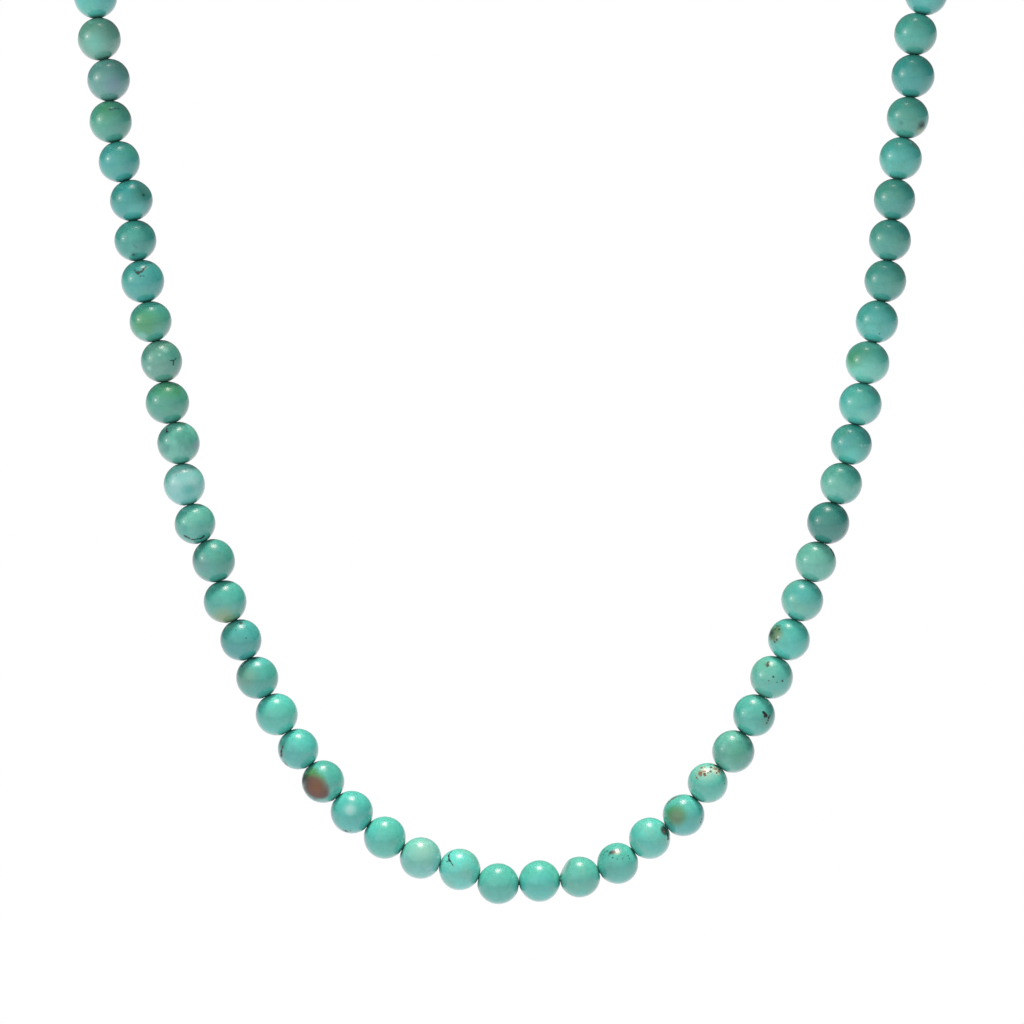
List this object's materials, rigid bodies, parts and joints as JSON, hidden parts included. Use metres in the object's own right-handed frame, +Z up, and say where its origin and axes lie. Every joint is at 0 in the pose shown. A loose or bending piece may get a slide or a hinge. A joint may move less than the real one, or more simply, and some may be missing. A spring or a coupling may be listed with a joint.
{
  "type": "beaded necklace",
  "caption": "Single-strand necklace of round polished turquoise beads, shown worn: a long U on the chest that passes over the shoulders to a plain barrel clasp at the nape.",
  "frame": {"origin": "the nape: the middle of the clasp's inner side, where it lies on the back of the neck", "axes": "+Z up, -Y to the front where the U hangs on the chest, +X to the right in the picture, which is the wearer's left"},
  "size_m": [0.1269, 0.0831, 0.1623],
  "materials": {
    "turquoise": "polished turquoise stone: blue-green, from pale sea green to deep teal from bead to bead, some with brown and black matrix",
    "thread": "twisted beading thread, dark sea green, seen only between two beads",
    "clasp_metal": "polished silver-coloured metal with fine wear"
  },
  "bodies": {
    "root": {"bead_string_left": "turquoise", "bead_string_right": "turquoise", "clasp": "clasp_metal"}
  },
  "joints": []
}
